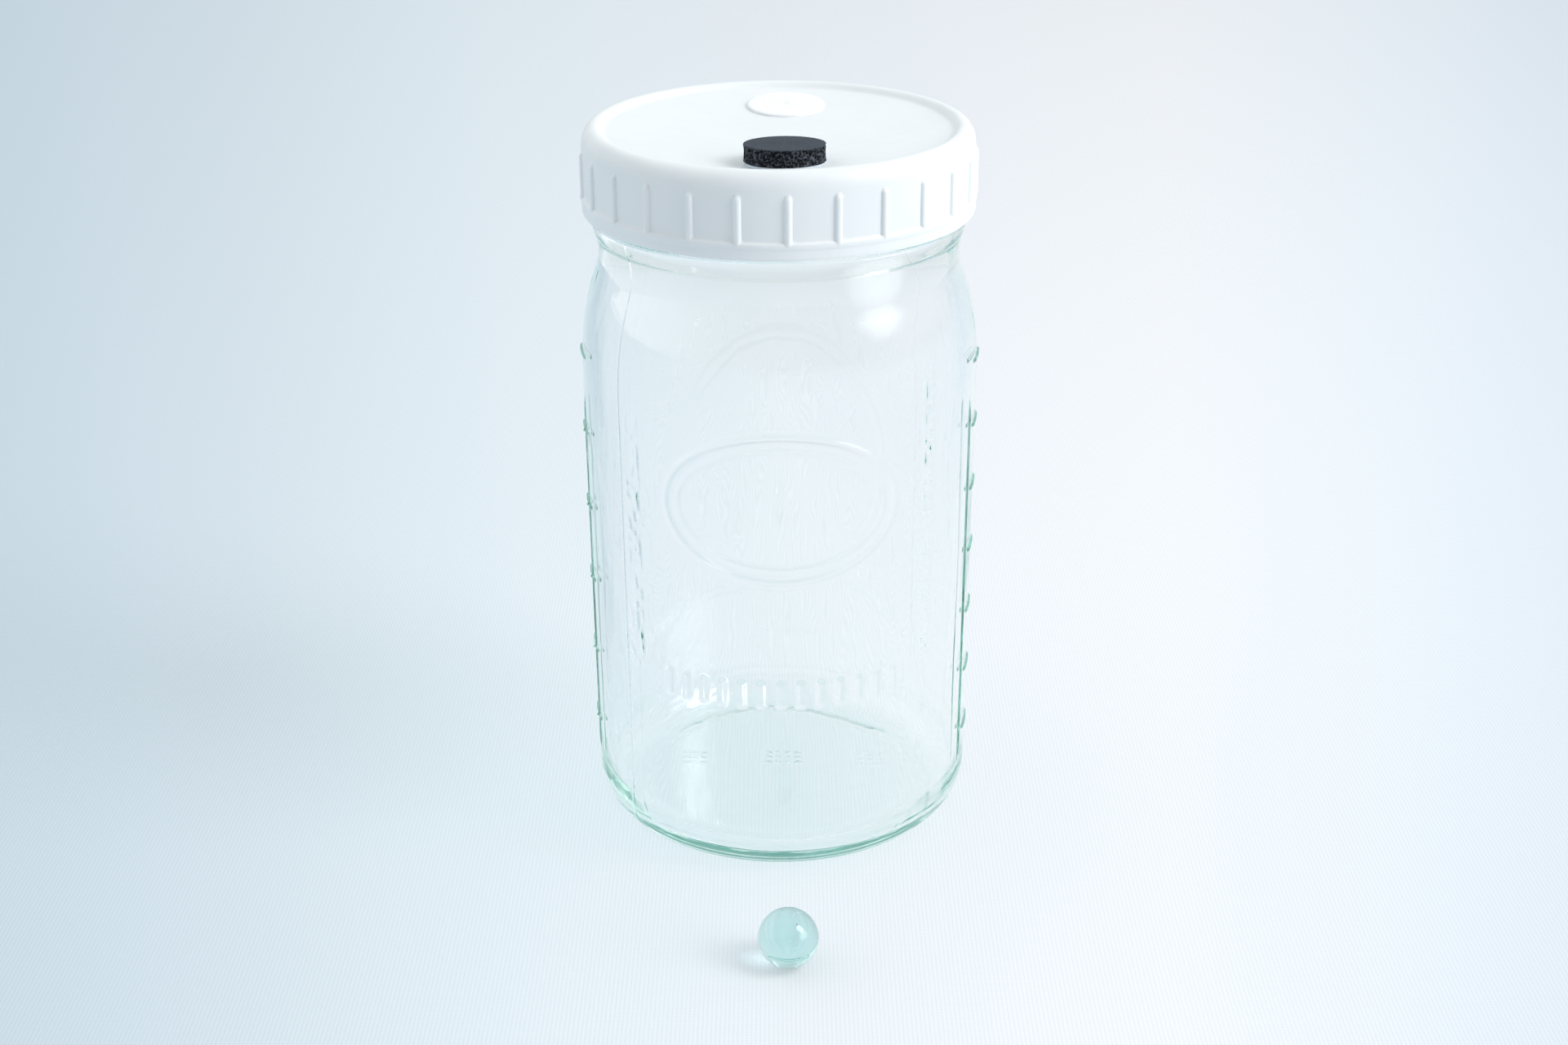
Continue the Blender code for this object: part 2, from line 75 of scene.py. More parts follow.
# Key lamp
KEY_PLACE = (1.01, -0.36, 1.07)
KEY_AIM = (0.0, 0.0, 0.06)
KEY_SIZE = (0.60, 0.78)
KEY_POWER = 8.8

# Light has to pass many glass walls before its colour is right
LIGHT_BOUNCES = 96

# Jar, in millimetres
BODY_LOW = 47.2
BODY_TOP = 47.7
HEEL = 10.5
HEEL_SPREAD = 0.7
RECESS = 0.6
FOOT_R = 38.0
SHOULDER_Z = 118.0
NECK_R = 42.8
NECK_Z = 146.5
BEAD_R = 44.6
BEAD_LOW = 150.8
BEAD_HIGH = 155.2
FINISH_R = 41.6
MOUTH_R = 38.0
RIM_Z = 171.4
INNER_R = 43.9
INNER_TOP_R = 44.4
INNER_NECK_R = 39.0
INNER_NECK_Z = 147.5
FLOOR_Z = 4.5
FLOOR_DOME = 0.8
INNER_HEEL = 8.0
LIP = 1.3
THREAD_START = 159.3
THREAD_PITCH = 6.35
THREAD_TURNS = 1.25
THREAD_HEIGHT = 1.4
THREAD_TAPER = 20.0

# Relief on the jar: angles in degrees from the front towards the right, sizes in millimetres
RIGHT_BARS = {"centre": 81.5, "start": 22.2, "step": 16.5, "count": 7}
LEFT_BARS = {"centre": -81.5, "start": 25.0, "step": 19.5, "count": 6}
BAR_HALF_LENGTH = 4.6
BAR_HALF_WIDTH = 0.65
BAR_HEIGHT = 0.5
RIGHT_EDGE = 71.5
LEFT_EDGE = -79.0
GRAIN_BAND = 46.5
FRONT_SEAM = -51.5
BACK_SEAM = 128.5
FRONT_OVAL_Z = 97.8
FRONT_OVAL_SIZE = (28.0, 18.0)
FLUTES = 13
FLUTE_Z = 50.6
FLUTE_STEP = 4.7
BACK_OVAL_Z = 71.5
BACK_OVAL_SIZE = (30.0, 35.0)

# Mesh of the jar: columns, angle of the finer ones at the grain, rows of the zones, length under the base
JAR_COLUMNS = 420
GRAIN_COLUMNS = 47.0
HEEL_ROWS = 66
BODY_ROWS = 146
NECK_ROWS = 62
INNER_ROWS = 60
BASE_LENGTH = 34.0

# Lid, in millimetres
SKIRT_R = 45.9
BAND_R = 46.3
LINE_R = 46.5
LINE_Z = 159.7
LID_LOW = 156.3
LID_TOP = 176.0
CREST_R = 42.9
PLATEAU_R = 41.0
PLATEAU_Z = 174.6
DISH = 2.1
BORE_R = 43.5
SEAT_Z = 172.9
SEAT_R = 36.8
TOP_WALL = 1.6
RIBS = 26
RIB_PHASE = 2.6
RIB_TOP = 170.8
RIB_HALF = 0.84
RIB_HEIGHT = 0.70
LID_ROWS = 150
LID_THREAD_START = 158.0

# Between the middles of the two threads: half of each one, and the clearance
THREAD_APART = 0.92 + 0.78 + 0.3

# Port and filter on the lid, in millimetres
PORT_PLACE = (1.4, -29.2)
PORT_LIFT = 0.9
PORT_R = 9.2
PORT_FOOT = -0.1
PORT_SIDE = 3.62
PORT_TOP = 3.8
PORT_PITS = 640
NEEDLE_HOLE = 3.0
FILTER_PLACE = (1.8, 26.5)
VENT_HOLE = 5.0

# Marble, in millimetres
MARBLE_R = 7.0
MARBLE_PLACE = (1.4, -83.0, 7.0)
SEEDS = 14


# Camera and lamp

def add_camera():
    data = bpy.data.cameras.new("camera")
    data.sensor_fit = "HORIZONTAL"
    data.sensor_width = 36.0
    data.lens = 36.0 * CAMERA_FOCAL / PHOTO_WIDTH
    data.clip_start = 0.01
    data.clip_end = 60.0
    camera = bpy.data.objects.new("camera", data)
    turn = Matrix.Rotation(math.pi / 2 - CAMERA_PITCH, 4, "X") @ Matrix.Rotation(CAMERA_ROLL, 4, "Z")
    camera.matrix_world = Matrix.Translation((CAMERA_X, -CAMERA_DISTANCE, CAMERA_HEIGHT)) @ turn
    scene.collection.objects.link(camera)
    scene.camera = camera


def add_key_lamp():
    data = bpy.data.lights.new("key", "AREA")
    data.shape = "ELLIPSE"
    data.size, data.size_y = KEY_SIZE
    data.energy = KEY_POWER
    lamp = bpy.data.objects.new("key", data)
    lamp.location = KEY_PLACE
    lamp.rotation_euler = (Vector(KEY_AIM) - Vector(KEY_PLACE)).to_track_quat("-Z", "Y").to_euler()
    scene.collection.objects.link(lamp)


# Small helpers for materials

def new_material(name):
    material = bpy.data.materials.new(name)
    material.use_nodes = True
    tree = material.node_tree
    return material, tree, tree.nodes["Principled BSDF"]


def node(tree, kind, **settings):
    made = tree.nodes.new(kind)
    for key, value in settings.items():
        setattr(made, key, value)
    return made


def noise(tree, scale, detail=3.0, roughness=0.5, stretch=(1.0, 1.0, 1.0)):
    """A noise value in object space, scale in cycles per metre."""
    place = node(tree, "ShaderNodeTexCoord")
    mapping = node(tree, "ShaderNodeMapping")
    mapping.inputs["Scale"].default_value = stretch
    tree.links.new(place.outputs["Object"], mapping.inputs["Vector"])
    made = node(tree, "ShaderNodeTexNoise")
    made.inputs["Scale"].default_value = scale
    made.inputs["Detail"].default_value = detail
    made.inputs["Roughness"].default_value = roughness
    tree.links.new(mapping.outputs["Vector"], made.inputs["Vector"])
    return made.outputs["Fac"]


def ramp(tree, value, stops):
    made = node(tree, "ShaderNodeValToRGB")
    elements = made.color_ramp.elements
    while len(elements) < len(stops):
        elements.new(0.5)
    for element, (place, colour) in zip(elements, stops):
        element.position = place
        element.color = (*colour, 1.0)
    tree.links.new(value, made.inputs["Fac"])
    return made.outputs["Color"]


def map_range(tree, value, low, high, to_low, to_high):
    made = node(tree, "ShaderNodeMapRange")
    made.interpolation_type = "SMOOTHSTEP"
    for key, number in (("From Min", low), ("From Max", high), ("To Min", to_low), ("To Max", to_high)):
        made.inputs[key].default_value = number
    tree.links.new(value, made.inputs["Value"])
    return made.outputs["Result"]


def math_node(tree, operation, first, second):
    made = node(tree, "ShaderNodeMath", operation=operation)
    for slot, value in enumerate((first, second)):
        if isinstance(value, (int, float)):
            made.inputs[slot].default_value = value
        else:
            tree.links.new(value, made.inputs[slot])
    return made.outputs["Value"]


def multiply(tree, first, second):
    """The product of two colours."""
    mix = node(tree, "ShaderNodeMix", data_type="RGBA", blend_type="MULTIPLY")
    mix.inputs["Factor"].default_value = 1.0
    tree.links.new(first, mix.inputs[6])
    tree.links.new(second, mix.inputs[7])
    return mix.outputs[2]


def bump(tree, shader, height, strength, distance):
    made = node(tree, "ShaderNodeBump")
    made.inputs["Strength"].default_value = strength
    made.inputs["Distance"].default_value = distance
    tree.links.new(height, made.inputs["Height"])
    tree.links.new(made.outputs["Normal"], shader.inputs["Normal"])


def glass_material(name, tint, density, shadow, caustics):
    """Clear glass with coloured absorption, which lets the lamps through."""
    material, tree, shader = new_material(name)
    shader.inputs["Base Color"].default_value = (1.0, 1.0, 1.0, 1.0)
    shader.inputs["Roughness"].default_value = 0.0
    shader.inputs["IOR"].default_value = 1.5
    shader.inputs["Transmission Weight"].default_value = 1.0
    absorb = node(tree, "ShaderNodeVolumeAbsorption")
    absorb.inputs["Color"].default_value = (*tint, 1.0)
    absorb.inputs["Density"].default_value = density
    clear = node(tree, "ShaderNodeBsdfTransparent")
    clear.inputs["Color"].default_value = (*shadow, 1.0)
    path = node(tree, "ShaderNodeLightPath")
    mix = node(tree, "ShaderNodeMixShader")
    output = tree.nodes["Material Output"]
    passing = path.outputs["Is Shadow Ray"]
    if not caustics:
        passing = math_node(tree, "MAXIMUM", passing, path.outputs["Is Diffuse Ray"])
    tree.links.new(passing, mix.inputs["Fac"])
    tree.links.new(shader.outputs["BSDF"], mix.inputs[1])
    tree.links.new(clear.outputs["BSDF"], mix.inputs[2])
    tree.links.new(mix.outputs["Shader"], output.inputs["Surface"])
    tree.links.new(absorb.outputs["Volume"], output.inputs["Volume"])
    return material, tree, shader


# Materials

def jar_glass_material():
    material, tree, shader = glass_material("jar_clear_glass", (0.53, 0.865, 0.785), 8.2,
                                            (0.965, 0.985, 0.985), False)
    wave = noise(tree, 90.0, 2.0, 0.5, (1.0, 1.0, 0.35))
    bump(tree, shader, wave, 0.25, 0.0006)
    return material


def marble_material():
    return glass_material("marble_aqua_glass", (0.42, 0.82, 0.79), 60.0, (0.05, 0.08, 0.09), True)[0]


def lid_material():
    material, tree, shader = new_material("lid_white_plastic")
    cloud = noise(tree, 60.0, 4.0)
    colour = ramp(tree, cloud, ((0.30, (0.800, 0.830, 0.843)), (0.70, (0.830, 0.854, 0.863))))
    tree.links.new(colour, shader.inputs["Base Color"])
    satin = map_range(tree, noise(tree, 350.0, 4.0), 0.3, 0.7, 0.30, 0.42)
    tree.links.new(satin, shader.inputs["Roughness"])
    shader.inputs["Subsurface Weight"].default_value = 0.12
    shader.inputs["Subsurface Radius"].default_value = (0.0022, 0.0024, 0.0026)
    shader.inputs["Subsurface Scale"].default_value = 1.0
    bump(tree, shader, noise(tree, 1800.0, 3.0), 0.10, 0.0001)
    return material


def seal_material():
    material, tree, shader = new_material("seal_soft_silicone")
    colour = ramp(tree, noise(tree, 90.0, 4.0), ((0.30, (0.74, 0.745, 0.73)), (0.70, (0.80, 0.80, 0.785))))
    tree.links.new(colour, shader.inputs["Base Color"])
    shader.inputs["Roughness"].default_value = 0.5
    bump(tree, shader, noise(tree, 1500.0, 3.0), 0.15, 0.0001)
    return material


def foam_material():
    """Slate skin with pale specks on top; round the side, open cells with painted shade that makes them near
    black between grey walls.
    """
    material, tree, shader = new_material("port_foam_rubber")
    fine = noise(tree, 2600.0, 5.0, 0.65)
    skin = ramp(tree, fine, ((0.30, (0.030, 0.038, 0.050)), (0.50, (0.050, 0.060, 0.076)),
                             (0.68, (0.062, 0.074, 0.092)), (0.74, (0.26, 0.28, 0.30))))
    place = node(tree, "ShaderNodeTexCoord")
    # Painted shade: the side's Voronoi cells are near black at their middles and grey at their walls, as
    # shade in the hollow cells.
    cells = node(tree, "ShaderNodeTexVoronoi")
    cells.inputs["Scale"].default_value = 1700.0
    tree.links.new(place.outputs["Object"], cells.inputs["Vector"])
    side = ramp(tree, cells.outputs["Distance"],
                ((0.10, (0.001, 0.001, 0.002)), (0.42, (0.002, 0.003, 0.005)),
                 (0.57, (0.026, 0.031, 0.042)), (0.74, (0.08, 0.09, 0.11))))
    seat = seat_matrix(*PORT_PLACE, PORT_LIFT)
    upward = seat.col[2].to_3d()
    level = node(tree, "ShaderNodeVectorMath", operation="DOT_PRODUCT")
    level.inputs[1].default_value = upward
    tree.links.new(place.outputs["Object"], level.inputs[0])
    top = seat.translation.dot(upward) + PORT_TOP * MM
    mix = node(tree, "ShaderNodeMix", data_type="RGBA")
    tree.links.new(map_range(tree, level.outputs["Value"], top - 0.34 * MM, top - 0.24 * MM, 0.0, 1.0),
                   mix.inputs["Factor"])
    tree.links.new(side, mix.inputs[6])
    tree.links.new(skin, mix.inputs[7])
    tree.links.new(mix.outputs[2], shader.inputs["Base Color"])
    shader.inputs["Roughness"].default_value = 0.85
    shader.inputs["Specular IOR Level"].default_value = 0.25
    bump(tree, shader, fine, 0.5, 0.0002)
    return material


def film_material(name, low, high, roughness):
    material, tree, shader = new_material(name)
    colour = ramp(tree, noise(tree, 700.0, 4.0), ((0.3, low), (0.7, high)))
    tree.links.new(colour, shader.inputs["Base Color"])
    shader.inputs["Roughness"].default_value = roughness
    bump(tree, shader, noise(tree, 2500.0, 2.0), 0.15, 0.0001)
    return material


def felt_material():
    material, tree, shader = new_material("filter_white_felt")
    fibre = noise(tree, 1500.0, 6.0, 0.7, (1.0, 0.25, 1.0))
    colour = ramp(tree, fibre, ((0.25, (0.83, 0.85, 0.865)), (0.75, (0.905, 0.915, 0.925))))
    tree.links.new(colour, shader.inputs["Base Color"])
    shader.inputs["Roughness"].default_value = 0.9
    shader.inputs["Sheen Weight"].default_value = 0.3
    bump(tree, shader, fibre, 0.4, 0.0002)
    return material


def weave_pattern(tree, place):
    """Fine plain weave, about one thread each way per millimetre."""
    waves = []
    for axis in ("X", "Y"):
        wave = node(tree, "ShaderNodeTexWave", bands_direction=axis)
        wave.inputs["Scale"].default_value = WEAVE_SCALE
        wave.inputs["Distortion"].default_value = 0.6
        wave.inputs["Detail"].default_value = 1.0
        tree.links.new(place.outputs["Object"], wave.inputs["Vector"])
        waves.append(wave.outputs["Fac"])
    return math_node(tree, "ADD", math_node(tree, "MULTIPLY", waves[0], 0.7),
                     math_node(tree, "MULTIPLY", waves[1], 0.3))


def floor_tone_with_shade(tree, place):
    """Tones that fan out from below the camera, so that they run from left to right in its view; they hold
    painted shade, darkest at the left, away from the key lamp.
    """
    split = node(tree, "ShaderNodeSeparateXYZ")
    tree.links.new(place.outputs["Object"], split.inputs["Vector"])
    depth = math_node(tree, "MAXIMUM", math_node(tree, "ADD", split.outputs["Y"], FAN_APEX), FAN_NEAR)
    across = math_node(tree, "DIVIDE", split.outputs["X"], depth)
    share = node(tree, "ShaderNodeMapRange")
    share.inputs["From Min"].default_value = -FAN_HALF
    share.inputs["From Max"].default_value = FAN_HALF
    tree.links.new(across, share.inputs["Value"])
    return ramp(tree, share.outputs["Result"], FLOOR_TONES_WITH_SHADE)


def floor_material():
    """Pale fine weave with painted shade across it, which shows a share of its own tone and keeps the
    shadows.
    """
    material, tree, shader = new_material("floor_fine_weave_and_shade")
    place = node(tree, "ShaderNodeTexCoord")
    weave = weave_pattern(tree, place)
    shade = map_range(tree, weave, 0.0, 1.0, WEAVE_SHADE, 1.0)
    # The floor's colour carries the painted shade of the tone fan.
    colour = multiply(tree, floor_tone_with_shade(tree, place), shade)
    tree.links.new(colour, shader.inputs["Base Color"])
    shader.inputs["Roughness"].default_value = 0.9
    shader.inputs["Specular IOR Level"].default_value = 0.1
    bump(tree, shader, weave, 0.25, 0.0001)
    # The glow shows the same tones, painted shade included, to camera, glossy and transmission rays.
    glow = node(tree, "ShaderNodeEmission")
    tree.links.new(colour, glow.inputs["Color"])
    path = node(tree, "ShaderNodeLightPath")
    seen = math_node(tree, "MAXIMUM", path.outputs["Is Camera Ray"], path.outputs["Is Glossy Ray"])
    seen = math_node(tree, "MAXIMUM", seen, path.outputs["Is Transmission Ray"])
    blend = node(tree, "ShaderNodeMixShader")
    tree.links.new(math_node(tree, "MULTIPLY", seen, FLOOR_GLOW), blend.inputs["Fac"])
    tree.links.new(shader.outputs["BSDF"], blend.inputs[1])
    tree.links.new(glow.outputs["Emission"], blend.inputs[2])
    tree.links.new(blend.outputs["Shader"], tree.nodes["Material Output"].inputs["Surface"])
    return material


# Mesh helpers, in millimetres until the mesh is made

def arc_length(angle, radius):
    """Length round a wall of this radius for an angle in degrees."""
    return angle * math.pi / 180.0 * radius


def smooth(value):
    """A soft step from 0 to 1."""
    value = np.clip(value, 0.0, 1.0)
    return value * value * (3.0 - 2.0 * value)


def ridge(distance, half_width):
    """A rounded ridge of height one about distance zero."""
    return smooth(1.0 - np.abs(distance) / half_width)


def round_corners(corners, steps=8):
    """A path through (radius, height, cut) corners, each one rounded over its cut."""
    path = []
    last = len(corners) - 1
    for index, (radius, height, cut) in enumerate(corners):
        here = np.array((radius, height), float)
        if cut == 0 or index in (0, last):
            path.append(here)
            continue
        before = np.array(corners[index - 1][:2], float) - here
        after = np.array(corners[index + 1][:2], float) - here
        start = here + before * min(cut / np.linalg.norm(before), 0.5)
        end = here + after * min(cut / np.linalg.norm(after), 0.5)
        for t in np.linspace(0.0, 1.0, steps + 1):
            path.append(start * (1 - t) ** 2 + here * 2 * t * (1 - t) + end * t * t)
    return path


def arc_corners(centre, radius, start, end, steps):
    """Corners along an arc, angles in degrees."""
    angles = np.radians(np.linspace(start, end, steps + 1))
    return [(centre[0] + radius * math.cos(a), centre[1] + radius * math.sin(a), 0) for a in angles]


def sweep_corners(low, low_handle, high, high_handle, steps):
    """Corners along a curve that is upright at both ends."""
    corners = np.array((low, (low[0], low[1] + low_handle), (high[0], high[1] - high_handle), high), float)
    points = []
    for t in np.linspace(0.0, 1.0, steps + 1):
        weights = np.array(((1 - t) ** 3, 3 * t * (1 - t) ** 2, 3 * t * t * (1 - t), t ** 3))
        radius, height = weights @ corners
        points.append((radius, height, 0))
    return points


class Profile:
    """A finely sampled half section, with its length, places and outward directions."""

    def __init__(self, corners, spacing=0.1, outward=1.0):
        path = np.array(round_corners(corners))
        keep = np.concatenate(([True], np.linalg.norm(np.diff(path, axis=0), axis=1) > 1e-6))
        path = path[keep]
        lengths = np.concatenate(([0.0], np.cumsum(np.linalg.norm(np.diff(path, axis=0), axis=1))))
        count = int(lengths[-1] / spacing) + 1
        self.s = np.linspace(0.0, lengths[-1], count)
        self.r = np.interp(self.s, lengths, path[:, 0])
        self.z = np.interp(self.s, lengths, path[:, 1])
        turn_r = np.gradient(self.r)
        turn_z = np.gradient(self.z)
        size = np.hypot(turn_r, turn_z)
        kernel = np.ones(5) / 5
        self.nr = np.convolve(outward * turn_z / size, kernel, "same")
        self.nz = np.convolve(-outward * turn_r / size, kernel, "same")

    def at(self, s):
        return tuple(np.interp(s, self.s, values) for values in (self.r, self.z, self.nr, self.nz))


def rows_by_density(profile, densities, rows):
    """Row places along the profile for each column, closer together where the density is higher."""
    total = np.cumsum(densities, axis=1)
    total = (total - total[:, :1]) / (total[:, -1:] - total[:, :1])
    steps = np.linspace(0.0, 1.0, rows)
    return np.array([np.interp(steps, column, profile.s) for column in total]).T


def rows_in_zones(profile, densities, zones):
    """Like rows_by_density, with a fixed count of rows up to each zone's end."""
    parts = []
    start = 0
    for end, rows in zones:
        stop = int(np.searchsorted(profile.s, end)) + 1
        total = np.cumsum(densities[:, start:stop], axis=1)
        total = (total - total[:, :1]) / (total[:, -1:] - total[:, :1])
        steps = np.linspace(0.0, 1.0, rows + 1)[(1 if parts else 0):]
        places = profile.s[start:stop]
        parts.append(np.array([np.interp(steps, column, places) for column in total]).T)
        start = stop - 1
    return np.concatenate(parts)


def columns_by_density(stretches, count):
    """Angles in degrees, closer together in the given (centre, half width, weight) stretches."""
    fine = np.linspace(-180.0, 180.0, 7201)
    weight = np.ones_like(fine)
    for centre, half, extra in stretches:
        away = np.abs((fine - centre + 180.0) % 360.0 - 180.0)
        weight = np.maximum(weight, 1.0 + (extra - 1.0) * smooth((half + 2.0 - away) / 2.0))
    total = np.concatenate(([0.0], np.cumsum((weight[1:] + weight[:-1]) / 2)))
    return np.interp(np.linspace(0.0, total[-1], count + 1)[:-1], total, fine)


def around_axis(r, z, radians):
    """Points at these radii and heights, turned from the front by these angles."""
    return np.stack([r * np.sin(radians), -r * np.cos(radians), z], axis=-1)


def grid_faces(numbers, flip=False):
    """Quads between the closed rows of a grid of vertex numbers."""
    faces = []
    for low, high in zip(numbers, numbers[1:]):
        if flip:
            low, high = high, low
        faces += np.stack([low, np.roll(low, -1), np.roll(high, -1), high], axis=1).tolist()
    return faces


def fan_faces(centre, row, flip=False):
    """Triangles from one vertex to a closed row of vertex numbers."""
    after = np.roll(row, -1)
    if flip:
        row, after = after, row
    return [(centre, int(a), int(b)) for a, b in zip(row, after)]


def make_piece(name, points, faces, material, body, node_name):
    mesh = bpy.data.meshes.new(name)
    mesh.from_pydata((np.asarray(points) * MM).tolist(), [], faces)
    mesh.validate()
    mesh.update()
    mesh.shade_smooth()
    mesh.materials.append(material)
    piece = bpy.data.objects.new(name, mesh)
    scene.collection.objects.link(piece)
    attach(piece, body)
    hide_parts(node_name)
    return piece


# The glass jar

def jar_outer_profile():
    ring = BODY_LOW - HEEL
    corners = [(0.0, RECESS, 0), (32.8, RECESS, 2.0), (36.6, 0.0, 0.7)]
    heel = arc_corners((0.0, HEEL), HEEL, -90, 0, 24)
    corners += [(ring + HEEL_SPREAD + r * (1.0 - HEEL_SPREAD / HEEL), z, cut) for r, z, cut in heel]
    corners += sweep_corners((BODY_TOP, SHOULDER_Z), 18.0, (NECK_R, NECK_Z), 5.0, 40)
    corners += [(NECK_R + 0.1, NECK_Z + 2.0, 0.6), (NECK_R + 0.5, BEAD_LOW + 0.1, 0.3),
                (NECK_R + 0.9, BEAD_LOW + 0.7, 0.35), (BEAD_R - 0.1, BEAD_HIGH - 0.8, 1.0),
                (BEAD_R - 0.4, BEAD_HIGH, 0.4), (FINISH_R, BEAD_HIGH + 0.2, 0.8)]
    corners += arc_corners((FINISH_R - LIP, RIM_Z - LIP), LIP, 0, 90, 8)
    corners += arc_corners((MOUTH_R + LIP, RIM_Z - LIP), LIP, 90, 170, 8)
    return Profile(corners)


def jar_inner_profile():
    corners = [(MOUTH_R, RIM_Z - LIP, 0), (MOUTH_R, BEAD_LOW + 2.7, 3.0)]
    shoulder = sweep_corners((INNER_TOP_R, SHOULDER_Z - 1.0), 20.0, (INNER_NECK_R, INNER_NECK_Z), 6.0, 32)
    corners += shoulder[::-1]
    flat = INNER_R - INNER_HEEL
    corners += arc_corners((flat, FLOOR_Z + INNER_HEEL), INNER_HEEL, 0, -90, 16)
    radii = np.linspace(flat - 3.0, 0.0, 14)
    corners += [(r, FLOOR_Z + FLOOR_DOME * (1.0 - (r / flat) ** 2), 0) for r in radii]
    return Profile(corners)


def helix_ridge(angle, z, start_z, start_turn, root_half, crest_half, height):
    """Height of a thread ridge of THREAD_TURNS turns at each (angle in degrees, z)."""
    best = np.zeros_like(z)
    turn = (angle / 360.0 - start_turn) % 1.0
    for whole in (0.0, 1.0):
        along = turn + whole
        inside = (along <= THREAD_TURNS)
        rise = np.minimum(along, THREAD_TURNS - along) / (THREAD_TAPER / 360.0)
        swell = np.sin(np.clip(rise, 0.0, 1.0) * math.pi / 2) * inside
        away = np.abs(z - (start_z + along * THREAD_PITCH))
        best = np.maximum(best, swell * height * smooth((root_half - away) / (root_half - crest_half)))
    return best


def bar_relief(angle, z, centre, start, step, count):
    """Short level bars one above the other."""
    bars = np.zeros_like(z)
    along = arc_length(angle - centre, BODY_TOP)
    for index in range(count):
        over = np.maximum(np.abs(along) - BAR_HALF_LENGTH, 0.0)
        away = np.hypot(over, z - (start + step * index))
        bars = np.maximum(bars, smooth((BAR_HALF_WIDTH - away) / 0.6))
    return BAR_HEIGHT * bars


def edge_lines(angle, z):
    """The upright bead along each side, over the straight part of the body."""
    right = ridge(arc_length(angle - RIGHT_EDGE, BODY_TOP), 1.0)
    left = ridge(arc_length(angle - LEFT_EDGE, BODY_TOP), 0.8)
    span = smooth((z - 14.5) / 3.0) * smooth((113.0 - z) / 4.0)
    return (0.36 * right + 0.32 * left) * span


def value_noise(u, v, cell, seed):
    """Smooth random heights from 0 to 1, with one random value per cell."""
    lattice = np.random.default_rng(seed).uniform(0.0, 1.0, (64, 64))
    u = u / cell
    v = v / cell
    i = np.floor(u).astype(int)
    j = np.floor(v).astype(int)
    a = smooth(u - i)
    b = smooth(v - j)
    rows = []
    for k in (0, 1):
        near = lattice[i % 64, (j + k) % 64]
        far = lattice[(i + 1) % 64, (j + k) % 64]
        rows.append(near * (1 - a) + far * a)
    return rows[0] * (1 - b) + rows[1] * b


def oval_distance(u, v, half_u, half_v):
    """Distance in millimetres from an oval outline, negative inside."""
    f = np.hypot(u / half_u, v / half_v)
    slope = np.hypot(u / half_u ** 2, v / half_v ** 2) / np.maximum(f, 1e-6)
    return (f - 1.0) / np.maximum(slope, 1e-3)


def front_relief(angle, z):
    """A plain double oval, and a row of short upright flutes below it."""
    u = arc_length(angle, BODY_TOP)
    oval = oval_distance(u, z - FRONT_OVAL_Z, *FRONT_OVAL_SIZE)
    height = 0.60 * ridge(oval, 1.15)
    height = np.maximum(height, 0.38 * ridge(oval + 3.2, 0.8))
    for index in range(FLUTES):
        over = np.maximum(np.abs(z - FLUTE_Z) - 2.6, 0.0)
        away = np.hypot(over, u - (index - (FLUTES - 1) / 2) * FLUTE_STEP)
        height = np.maximum(height, 0.50 * smooth((1.25 - away) / 1.0))
    return height * (np.abs(angle) < 60.0)


def back_relief(angle, z, grain):
    """A plain sunk oval field with a rim level with the glass."""
    away = (angle + 360.0) % 360.0 - 180.0
    oval = oval_distance(arc_length(away, BODY_TOP), z - BACK_OVAL_Z, *BACK_OVAL_SIZE)
    sunk = 0.35 * smooth((-oval - 0.7) / 0.8) + 0.30 * smooth((2.6 - np.abs(oval - 0.5)) / 1.2)
    sunk = np.where(np.abs(oval) < 0.9, sunk * smooth(np.abs(oval) / 0.9), sunk)
    band = ridge(oval + 2.2, 1.4)
    return -sunk + band * grain * 0.18


def side_grain(angle, z):
    """The rough upright bands beside the front panel: crackled on the left, stippled on the right."""
    u = arc_length(angle, BODY_TOP)
    crackle = 1.0 - np.abs(value_noise(u, z * 0.6, 1.7, 31) - 0.5) / 0.30
    crackle = smooth(crackle) * smooth(value_noise(u, z * 0.5, 4.0, 33) * 2.6 - 0.4)
    stipple = value_noise(u, z, 0.8, 35)
    left = smooth((3.6 - np.abs(angle + GRAIN_BAND)) / 1.4)
    left = left * smooth((z - 50.0) / 6.0) * smooth((118.0 - z) / 8.0)
    right = smooth((2.2 - np.abs(angle - GRAIN_BAND)) / 1.0)
    right = right * smooth((z - 50.0) / 8.0) * smooth((134.0 - z) / 8.0)
    return 0.33 * left * crackle + 0.50 * right * stipple


def foot_grain(angle, z):
    """Fine knurling where the base turns up into the heel, at the front."""
    u = arc_length(angle, FOOT_R)
    grain = value_noise(u, z * 3.0, 1.1, 37) * smooth((80.0 - np.abs(angle)) / 20.0)
    return 0.16 * grain * smooth((z - 0.05) / 0.1) * smooth((1.1 - z) / 0.6)


def base_marks(x, y):
    """Three groups of small plain dots under the base."""
    height = np.zeros_like(x)
    for centre, columns in ((-23.5, 3), (0.0, 4), (23.5, 3)):
        for column in range(columns):
            for row in range(3):
                place_x = centre + (column - (columns - 1) / 2) * 2.6
                place_y = 6.5 + (row - 1) * 2.4
                height = np.maximum(height, 0.25 * smooth((1.05 - np.hypot(x - place_x, y - place_y)) / 0.7))
    return height


def around(angle, centre, half, fade):
    """One within half degrees of centre, falling to nothing over fade degrees."""
    away = np.abs((angle - centre + 180.0) % 360.0 - 180.0)
    return smooth((half + fade - away) / fade)


